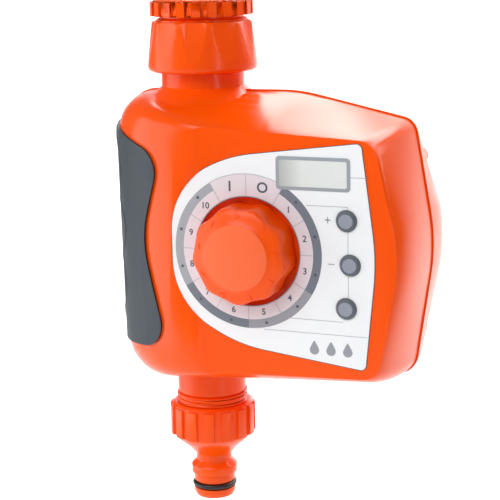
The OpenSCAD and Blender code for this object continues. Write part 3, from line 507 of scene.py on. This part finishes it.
class TIMER_OT_materials(bpy.types.Operator):
    """Makes the materials and puts them on every part of the frame"""

    bl_idname = "timer.materials"
    bl_label = "Materials"

    def execute(self, context):
        c = context.scene.timer_colours
        orange = tuple(c.orange)
        made = {
            "orange_plastic": moulded("Orange plastic", orange, 0.22, 0.06, 900.0),
            "knob_orange": moulded("Knob orange", orange, 0.3, 0.06, 1400.0, 0.006),
            "knob_face": moulded("Knob face", tuple(c.knob_face), 0.55, 0.04, 1800.0, 0.01),
            "grip_rubber": rubber("Grip rubber", tuple(c.grip), 0.5),
            "black_rubber": rubber("Black rubber", (0.012, 0.012, 0.013), 0.4),
            "white_nylon": moulded("White nylon", (0.8, 0.8, 0.77), 0.4),
            "gear_acetal": moulded("Gear acetal", (0.8, 0.78, 0.68), 0.3),
            "steel": brushed("Steel", (0.62, 0.63, 0.65), 0.28),
            "printed_panel": printed("Panel film", tuple(c.panel)),
            "clear_window": window_glass("Clear window", (0.9, 0.94, 0.93)),
            "display": lcd_screen("Display", tuple(c.screen)),
            "button_grey": moulded("Button rim", tuple(c.button_rim), 0.38),
            "dark_plastic": moulded("Dark plastic", (0.03, 0.03, 0.034), 0.42),
            "switch_blue": moulded("Switch blue", (0.04, 0.12, 0.4), 0.35),
            "board_green": circuit_board("Board green", (0.01, 0.12, 0.04)),
            "cell_wrap": cell_label("Cell wrap", (0.02, 0.025, 0.03), (0.45, 0.2, 0.04)),
            "lead_red": moulded("Red lead", (0.5, 0.02, 0.015), 0.4),
            "lead_black": moulded("Black lead", (0.015, 0.015, 0.015), 0.4),
            "button_face": moulded("Button face", tuple(c.button), 0.42),
            "ink_dark": printed("Dark ink", tuple(c.ink_dark), 0.45),
            "ink_mid": printed("Middle ink", tuple(c.ink_mid), 0.45),
            "ink_light": printed("Light ink", tuple(c.ink_light), 0.45),
            "ink_wash": printed("Wash ink", tuple(c.ink_wash), 0.45),
            "ink_line": printed("Line ink", (0.42, 0.45, 0.49), 0.45),
            "ink_number": printed("Number ink", (0.09, 0.1, 0.13), 0.45),
            "frame_grey": moulded("Window frame", (0.33, 0.36, 0.39), 0.45),
            "grip_line": rubber("Grip line", (0.075, 0.1, 0.12), 0.42),
        }
        MATERIALS.update(made)
        slot_of = {n["node"]: n["material_slot"] for n in frame["record"]["subparts"]}
        for name, obj in frame["nodes"].items():
            slot = slot_of.get(name)
            fail_if(slot not in MATERIALS, f"no material for {name}, whose slot is {slot}")
            obj.data.materials.clear()
            obj.data.materials.append(MATERIALS[slot])
        return {"FINISHED"}


# ------------------------------------------------------------------ pieces


class TIMER_OT_case(bpy.types.Operator):
    """Rounds the edges of the case halves, the grips, the panel and the battery door"""

    bl_idname = "timer.case"
    bl_label = "Case"

    def execute(self, context):
        edge = context.scene.timer_sizes.case_edge
        for node, slot, body, width in (
            ("front_shell", "orange_plastic", BODY, edge),
            ("rear_shell", "orange_plastic", BODY, edge),
            ("front_grip", "grip_rubber", BODY, edge * 0.6),
            ("rear_grip", "grip_rubber", BODY, edge * 0.6),
            ("panel_plate", "printed_panel", BODY, edge * 0.25),
            ("battery_door", "orange_plastic", "battery_door", edge),
        ):
            moulded_copy(node, "finished_" + node, MATERIALS[slot], body, slot, width)
        # Painted shadow: a dark ring in the number ink, set just behind the panel's front and spread a little past
        # its outline, stands in for the thin contact shadow along the panel's edge
        inset, spread = 0.1 * MM, 0.22 * MM
        bm = copy_of("panel_plate", "panel_shadow_line")
        bm.normal_update()
        outwards = {v: Vector((v.normal.x, 0, v.normal.z)).normalized() for v in bm.verts}
        for vert, way in outwards.items():
            vert.co.y = max(vert.co.y, PANEL_FRONT + inset)
            vert.co += way * spread
        mesh = finish_mesh(bm, "panel_shadow_line")
        add_object("panel_shadow_line", mesh, MATERIALS["ink_number"], BODY, slot="printed_panel")
        return {"FINISHED"}


class TIMER_OT_grip_facets(bpy.types.Operator):
    """Lays three low, bowed finger lines down the outer side of the grip"""

    bl_idname = "timer.grip_facets"
    bl_label = "Grip facets"

    def execute(self, context):
        low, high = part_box("front_grip")
        skin = copy_of("front_grip", "grip_facets")
        tree = BVHTree.FromBMesh(skin)
        # Heights where the bows meet, from the top down, and how far round the front they reach, in mm
        cusps = ((-44.0, 9.5), (-72.0, 15.0), (-92.5, 15.0), (-118.0, 9.5))
        bulge, steps, lift, thickness = 5.5, 24, 0.02 * MM, 0.26 * MM
        points = []
        for (top, reach), (bottom, next_reach) in zip(cusps, cusps[1:]):
            for k in range(steps):
                share = k / steps
                up = top + (bottom - top) * share
                deep = reach + (next_reach - reach) * share + bulge * math.sin(math.pi * share)
                hit = tree.ray_cast(Vector((low.x - 0.01, -deep * MM, up * MM)), Vector((1, 0, 0)))
                if hit[0] is not None:
                    points.append(hit[0] + hit[1] * lift)
        fail_if(len(points) < 2 * steps, "the grip lines missed the grip")
        # One chain, so that the skin has a root for all of it
        bm = bmesh.new()
        verts = [bm.verts.new(p) for p in points]
        for pair in zip(verts, verts[1:]):
            bm.edges.new(pair)
        mesh = bpy.data.meshes.new("grip_facets")
        bm.to_mesh(mesh)
        bm.free()
        skin.free()
        obj = bpy.data.objects.new("grip_facets", mesh)
        context.scene.collection.objects.link(obj)
        thread = obj.modifiers.new("Line", "SKIN")
        for vert in mesh.skin_vertices[0].data:
            vert.radius = (thickness, thickness)
        thread.use_smooth_shade = True
        baked = bpy.data.meshes.new_from_object(obj.evaluated_get(context.evaluated_depsgraph_get()))
        bpy.data.objects.remove(obj)
        fail_if(not baked.polygons, "the grip lines came out empty")
        add_object("grip_facets", baked, MATERIALS["grip_line"], BODY, slot="grip_rubber")
        return {"FINISHED"}


class TIMER_OT_fittings(bpy.types.Operator):
    """Rounds the edges of the water fittings above and below the case"""

    bl_idname = "timer.fittings"
    bl_label = "Water fittings"

    def execute(self, context):
        edge = context.scene.timer_sizes.fitting_edge
        for node, slot, body, width in (
            ("inlet_nut", "orange_plastic", "inlet_nut", edge * 1.4),
            ("tap_reducer", "orange_plastic", "tap_reducer", edge),
            ("hose_connector", "orange_plastic", "hose_connector", edge),
            ("outlet_union", "orange_plastic", BODY, edge * 0.8),
        ):
            moulded_copy(node, "finished_" + node, MATERIALS[slot], body, slot, width)
        return {"FINISHED"}


class TIMER_OT_thread(bpy.types.Operator):
    """Winds the outlet's visible thread as a helix over the union's plain crests"""

    bl_idname = "timer.thread"
    bl_label = "Outlet thread"

    def execute(self, context):
        pitch, start, turns, steps = 1.814 * MM, -0.1465, 2.0, 96
        inner, crest = 13.1 * MM, 13.3 * MM
        bm = bmesh.new()
        profile = [(inner, -0.5 * MM), (crest, -0.2 * MM), (crest, 0.2 * MM), (inner, 0.5 * MM)]
        verts = [bm.verts.new((r, 0, start + dz)) for r, dz in profile]
        edges = [bm.edges.new((verts[i], verts[(i + 1) % 4])) for i in range(4)]
        bmesh.ops.spin(bm, geom=verts + edges, axis=(0, 0, 1), cent=(0, 0, 0), angle=TURN * turns,
                       steps=int(steps * turns), dvec=(0, 0, -pitch / steps), use_merge=False)
        bmesh.ops.holes_fill(bm, edges=bm.edges, sides=4)
        mesh = finish_mesh(bm, "outlet_thread", 25)
        add_object("outlet_thread", mesh, MATERIALS["orange_plastic"], BODY, slot="orange_plastic")
        return {"FINISHED"}


class TIMER_OT_knob(bpy.types.Operator):
    """Models the program knob: lobed skirt, conical sides with thumb notches and a flat face"""

    bl_idname = "timer.knob"
    bl_label = "Program knob"

    def execute(self, context):
        count = context.scene.timer_sizes.notch_count
        low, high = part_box("program_knob")
        back, front = high.y, low.y
        # Distance behind the face, radius between lobes' crests, and how deep the lobes are there
        rows = (
            (0.0, 11.3, 0.0), (0.15, 11.6, 0.0), (0.45, 12.0, 0.0), (0.9, 13.4, 0.0), (1.4, 14.9, 0.1),
            (1.8, 15.9, 0.3), (2.1, 16.4, 0.5), (2.7, 16.9, 0.9), (3.6, 17.15, 1.1), (4.6, 17.2, 1.2),
            (13.7, 17.2, 1.2), (14.0, 17.0, 1.2),
        )
        phase = math.radians(8)

        def radius_at(index, angle):
            behind, crest, depth = rows[index]
            swing = math.cos(count * (angle - phase - math.pi / count))
            return (crest - depth * (0.5 - 0.5 * swing)) * MM

        bm = bmesh.new()
        levels = [-min(behind * MM, back - front) for behind, _, _ in rows]
        ring_stack(bm, levels, radius_at, segments=240)
        mesh = finish_mesh(bm, "knob_skirt", 24)
        mesh.transform(Matrix.Translation((DIAL.x, front, DIAL.z)) @ TO_PANEL)
        add_object("knob_skirt", mesh, MATERIALS["knob_orange"], "knob", "program_knob",
                   slot="knob_orange")

        bm = bmesh.new()
        face_r, face_t = 11.45 * MM, 0.4 * MM
        turned(bm, ((0, 0), (11.2 * MM, 0), (face_r, -0.12 * MM), (face_r, -face_t), (0, -face_t)))
        mesh = finish_mesh(bm, "knob_face", 30)
        mesh.transform(Matrix.Translation((DIAL.x, front - 0.05 * MM, DIAL.z)) @ TO_PANEL)
        add_object("knob_face", mesh, MATERIALS["knob_face"], "knob", slot="knob_orange")

        bm = bmesh.new()
        for i in range(count):
            # A small raised wedge that points inwards at each thumb notch
            wedge = Matrix.Rotation(phase + TURN * i / count, 4, "Z") \
                @ Matrix.Translation((14.3 * MM, 0, -1.3 * MM)) @ Matrix.Rotation(0.33, 4, "Y") \
                @ Matrix.Rotation(math.pi, 4, "Z")
            bmesh.ops.create_cone(bm, cap_ends=True, segments=3, radius1=1.5 * MM, radius2=1.2 * MM,
                                  depth=0.7 * MM, matrix=wedge)
        mesh = finish_mesh(bm, "knob_notches", 30)
        mesh.transform(Matrix.Translation((DIAL.x, front, DIAL.z)) @ TO_PANEL)
        add_object("knob_notches", mesh, MATERIALS["knob_orange"], "knob", slot="knob_orange")
        return {"FINISHED"}


class TIMER_OT_dial_print(bpy.types.Operator):
    """Prints the ring of sectors, dividers, dots and numbers round the knob"""

    bl_idname = "timer.dial_print"
    bl_label = "Dial print"

    def execute(self, context):
        sizes = context.scene.timer_sizes
        depth, line = sizes.print_depth, sizes.line_width
        inner, middle, outer = WELL_R + 0.1 * MM, 24.0 * MM, 27.1 * MM
        arcs = {
            "ink_wash": [(inner, middle, 30, 330), (inner, outer, -30, 30)],
            "ink_dark": [(middle, outer, 30, 120), (middle, outer, 180, 240)],
            "ink_mid": [(middle, outer, 120, 180)],
            "ink_light": [(middle, outer, 240, 330)],
        }
        for ink, spans in arcs.items():
            bm = bmesh.new()
            for r0, r1, a0, a1 in spans:
                sector(bm, r0, r1, a0, a1, depth, PANEL_FRONT)
            self.add(bm, "dial_" + ink, ink)
        top = PANEL_FRONT - depth
        bm = bmesh.new()
        for k in range(12):
            a = math.radians(90 - 30 * k)
            reach = outer if k in (0, 1, 11) else middle
            ends = [(DIAL.x + r * math.cos(a), DIAL.z + r * math.sin(a)) for r in (inner, reach)]
            bar(bm, *ends, line, depth, top)
        for r in (inner + line / 2, outer):
            sector(bm, r - line / 2, r + line / 2, -30, 30 if r == outer else 330, depth, top)
        self.add(bm, "dial_dividers", "ink_line")
        bm = bmesh.new()
        for clock in range(45, 330, 30):
            a = math.radians(90 - clock)
            r = (middle + outer) / 2
            disc(bm, DIAL.x + r * math.cos(a), DIAL.z + r * math.sin(a), 0.55 * MM, depth, top)
        self.add(bm, "dial_dots", "ink_number")
        labels = {345: "I", 15: "O"}
        labels.update({clock: str((clock - 15) // 30) for clock in range(45, 330, 30)})
        for clock, text in labels.items():
            a = math.radians(90 - clock)
            r, size = (23.2 * MM, 5.0 * MM) if text in "IO" else (21.7 * MM, 3.1 * MM)
            written(f"dial_label_{clock}", text, DIAL.x + r * math.cos(a), DIAL.z + r * math.sin(a),
                    size, depth, top, MATERIALS["ink_number"])
        return {"FINISHED"}

    @staticmethod
    def add(bm, name, ink):
        mesh = finish_mesh(bm, name, 20)
        add_object(name, mesh, MATERIALS[ink], BODY, slot="printed_panel")


class TIMER_OT_panel_print(bpy.types.Operator):
    """Prints the thin guide lines and a droplet mark on the control panel"""

    bl_idname = "timer.panel_print"
    bl_label = "Panel print"

    def execute(self, context):
        sizes = context.scene.timer_sizes
        depth, line = sizes.print_depth, sizes.line_width
        plus, minus, run = (BUTTONS[n] for n in ("plus", "minus", "run"))
        edge, spine = LCD.x + 13.0 * MM, 65.4 * MM
        paths = (
            ((edge, -57.4 * MM), (72.0 * MM, -57.4 * MM)),
            ((50.7 * MM, -67.4 * MM), (spine, -67.4 * MM)),
            ((spine, -67.4 * MM), (spine, plus.z + 3.9 * MM)),
            ((spine, plus.z - 3.7 * MM), (spine, minus.z + 3.7 * MM)),
            ((spine, minus.z - 3.7 * MM), (spine, run.z + 3.7 * MM)),
            ((44.2 * MM, -107.05 * MM), (run.x - 1.2 * MM, -107.05 * MM)),
            ((34.7 * MM, -111.8 * MM), (72.0 * MM, -111.8 * MM)),
        )
        bm = bmesh.new()
        for start, end in paths:
            bar(bm, start, end, line, depth, PANEL_FRONT)
        # Plus and minus marks beside their buttons
        for button, upright in ((plus, True), (minus, False)):
            x, z, arm, stroke = button.x - 6.6 * MM, button.z, 1.1 * MM, 0.45 * MM
            bar(bm, (x - arm, z), (x + arm, z), stroke, depth, PANEL_FRONT)
            if upright:
                bar(bm, (x, z - arm), (x, z + arm), stroke, depth, PANEL_FRONT)
        add_object("panel_lines", finish_mesh(bm, "panel_lines", 20), MATERIALS["ink_line"], BODY,
                   slot="printed_panel")
        bm = bmesh.new()
        for x in (53.0, 59.0, 65.0):
            self.droplet(bm, x * MM, -117.6 * MM, 1.7 * MM, depth)
        add_object("panel_droplets", finish_mesh(bm, "panel_droplets", 20), MATERIALS["ink_mid"], BODY,
                   slot="printed_panel")
        return {"FINISHED"}

    @staticmethod
    def droplet(bm, x, z, radius, depth):
        """A generic water drop: a disc drawn up to a point."""
        for v in disc(bm, x, z, radius, depth, PANEL_FRONT, segments=32):
            up = max(0.0, (v.co.z - z) / radius)
            v.co.z += radius * 0.9 * up * up
            v.co.x = x + (v.co.x - x) * (1 - 0.55 * up * up)


class TIMER_OT_display(bpy.types.Operator):
    """Lays the display's frame and its blank screen over the window"""

    bl_idname = "timer.display"
    bl_label = "Display"

    def execute(self, context):
        low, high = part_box("lcd_lens")
        width, height = high.x - low.x, high.z - low.z
        bm = bmesh.new()
        rounded_bar(bm, LCD.x, LCD.z, width + 1.0 * MM, height + 1.0 * MM, 1.3 * MM, 0.12 * MM,
                    PANEL_FRONT)
        frame_obj = add_object("display_frame", finish_mesh(bm, "display_frame", 30),
                               MATERIALS["frame_grey"], BODY, slot="printed_panel")
        soften(frame_obj, 0.04 * MM, 2)
        bm = bmesh.new()
        rounded_bar(bm, LCD.x, LCD.z, width - 1.4 * MM, height - 1.4 * MM, 0.6 * MM, 0.1 * MM,
                    PANEL_FRONT - 0.11 * MM)
        add_object("display_screen", finish_mesh(bm, "display_screen", 30), MATERIALS["display"], BODY,
                   slot="display")
        return {"FINISHED"}


class TIMER_OT_buttons(bpy.types.Operator):
    """Models the three buttons, each with a dark rim and a paler dished disc"""

    bl_idname = "timer.buttons"
    bl_label = "Buttons"

    def execute(self, context):
        for name, middle in BUTTONS.items():
            node = "button_" + name
            low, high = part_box(node)
            place = Matrix.Translation((middle.x, CAP_FRONT, middle.z)) @ TO_PANEL
            radius, deep = min(high.x - middle.x, 3.65 * MM), high.y - low.y
            bm = bmesh.new()
            turned(bm, ((0, -0.35 * MM), (2.4 * MM, -0.35 * MM), (2.6 * MM, -0.04 * MM), (2.75 * MM, 0),
                        (3.0 * MM, -0.08 * MM), (3.3 * MM, -0.3 * MM), (radius - 0.12 * MM, -0.7 * MM),
                        (radius, -1.1 * MM), (radius, -deep), (0, -deep)))
            mesh = finish_mesh(bm, node + "_cap", 40)
            mesh.transform(place)
            add_object(node + "_cap", mesh, MATERIALS["button_grey"], name + "_button", node,
                       slot="button_grey")
            bm = bmesh.new()
            turned(bm, ((0, -0.16 * MM), (1.4 * MM, -0.13 * MM), (2.2 * MM, -0.06 * MM),
                        (2.5 * MM, -0.08 * MM), (2.5 * MM, -0.36 * MM), (0, -0.36 * MM)))
            mesh = finish_mesh(bm, node + "_disc", 40)
            mesh.transform(place)
            add_object(node + "_disc", mesh, MATERIALS["button_face"], name + "_button", slot="button_grey")
        return {"FINISHED"}


# ------------------------------------------------------------------ stage


def aimed(obj, place, target):
    """Puts a light somewhere and points it at a target."""
    obj.location = place
    obj.rotation_euler = (Vector(target) - Vector(place)).to_track_quat("-Z", "Y").to_euler()


def soft_light(name, place, target, width, height, power):
    """A rectangular studio light."""
    data = bpy.data.lights.new(name, "AREA")
    data.shape = "RECTANGLE"
    data.size, data.size_y, data.energy = width, height, power
    obj = bpy.data.objects.new(name, data)
    bpy.context.scene.collection.objects.link(obj)
    aimed(obj, place, target)


class TIMER_OT_stage(bpy.types.Operator):
    """Sets a pale floor and backdrop, soft lights and the camera"""

    bl_idname = "timer.stage"
    bl_label = "Stage"

    def execute(self, context):
        scene = context.scene
        s = Shader("Backdrop")
        cloud = s.noise(3.0, 2.0)
        s.set(Base_Color=s.mix(cloud, (0.93, 0.93, 0.93), (0.95, 0.95, 0.95)))
        s.set(Roughness=0.85 + cloud * 0.1, Specular_IOR_Level=0.1)
        s.bump(cloud, 0.0001)
        bm = bmesh.new()
        bmesh.ops.create_grid(bm, x_segments=1, y_segments=1, size=3.0)
        # The far edge rises into a wall, with a wide curve between them
        back = [e for e in bm.edges if all(v.co.y > 2.9 for v in e.verts)]
        risen = bmesh.ops.extrude_edge_only(bm, edges=back)["geom"]
        bmesh.ops.translate(bm, verts=[g for g in risen if isinstance(g, bmesh.types.BMVert)],
                            vec=(0, 0, 4.0))
        bmesh.ops.bevel(bm, geom=back, offset=1.2, offset_type="OFFSET", segments=24, profile=0.5,
                        affect="EDGES", material=-1)
        bmesh.ops.translate(bm, verts=bm.verts, vec=(0, 0, -0.5))
        mesh = bpy.data.meshes.new("backdrop")
        bmesh.ops.recalc_face_normals(bm, faces=bm.faces)
        for face in bm.faces:
            face.smooth = True
        bm.to_mesh(mesh)
        bm.free()
        mesh.materials.append(s.material)
        floor = bpy.data.objects.new("backdrop", mesh)
        scene.collection.objects.link(floor)

        # Name, place, target, width, height and power of each light
        target = (0.017, 0.0, -0.092)
        soft_light("Key", (-0.2, -1.0, 0.9), target, 1.1, 0.8, 12.0)
        soft_light("Fill", (1.1, -0.7, 0.1), target, 0.14, 1.2, 2.0)
        soft_light("Rim", (0.6, 0.4, 0.4), target, 0.2, 0.8, 2.0)
        soft_light("Left strip", (-1.0, -0.42, 0.0), target, 1.0, 1.0, 6.5)
        soft_light("Backdrop light", (0.0, 1.9, 1.6), (0.0, 2.2, -0.5), 2.6, 1.6, 95)
        world = bpy.data.worlds.new("Studio")
        world.use_nodes = True
        world.node_tree.nodes["Background"].inputs["Color"].default_value = (1, 1, 1, 1)
        world.node_tree.nodes["Background"].inputs["Strength"].default_value = 0.16
        scene.world = world
        scene.view_settings.view_transform = "Standard"

        data = bpy.data.cameras.new("Camera")
        data.lens, data.sensor_width = CAMERA_LENS, 36.0
        data.clip_start, data.clip_end = 0.01, 20.0
        camera = bpy.data.objects.new("Camera", data)
        scene.collection.objects.link(camera)
        azimuth, pitch, roll = (math.radians(d) for d in CAMERA_ANGLES)
        back_dir = Vector((math.sin(azimuth) * math.cos(pitch), -math.cos(azimuth) * math.cos(pitch),
                           math.sin(pitch)))
        right = (-back_dir).cross(Vector((0, 0, 1))).normalized()
        up = right.cross(-back_dir)
        turned_right = math.cos(roll) * right + math.sin(roll) * up
        turned_up = -math.sin(roll) * right + math.cos(roll) * up
        basis = Matrix((turned_right, turned_up, back_dir)).transposed().to_4x4()
        camera.matrix_world = Matrix.Translation(CAMERA_PLACE) @ basis
        scene.camera = camera
        return {"FINISHED"}


class TIMER_PT_panel(bpy.types.Panel):
    """Sizes and colours of the irrigation timer"""

    bl_label = "Irrigation timer"
    bl_idname = "TIMER_PT_panel"
    bl_space_type = "VIEW_3D"
    bl_region_type = "UI"
    bl_category = "Irrigation timer"

    def draw(self, context):
        for group in (context.scene.timer_sizes, context.scene.timer_colours):
            box = self.layout.box()
            for key in group.bl_rna.properties.keys():
                if key not in {"rna_type", "name"}:
                    box.prop(group, key)
        column = self.layout.column()
        for step in STEPS:
            column.operator(step.bl_idname)


STEPS = (
    TIMER_OT_materials, TIMER_OT_case, TIMER_OT_grip_facets, TIMER_OT_fittings, TIMER_OT_thread,
    TIMER_OT_knob, TIMER_OT_dial_print, TIMER_OT_panel_print, TIMER_OT_display, TIMER_OT_buttons,
    TIMER_OT_stage,
)
CLASSES = (TimerSizes, TimerColours, *STEPS, TIMER_PT_panel)


def register():
    for cls in CLASSES:
        bpy.utils.register_class(cls)
    bpy.types.Scene.timer_sizes = bpy.props.PointerProperty(type=TimerSizes)
    bpy.types.Scene.timer_colours = bpy.props.PointerProperty(type=TimerColours)


def unregister():
    del bpy.types.Scene.timer_colours
    del bpy.types.Scene.timer_sizes
    for cls in reversed(CLASSES):
        bpy.utils.unregister_class(cls)


def main():
    register()
    bpy.ops.timer.materials()
    bpy.ops.timer.case()
    bpy.ops.timer.grip_facets()
    bpy.ops.timer.fittings()
    bpy.ops.timer.thread()
    bpy.ops.timer.knob()
    bpy.ops.timer.dial_print()
    bpy.ops.timer.panel_print()
    bpy.ops.timer.display()
    bpy.ops.timer.buttons()
    bpy.ops.timer.stage()


if __name__ == "__main__":
    main()
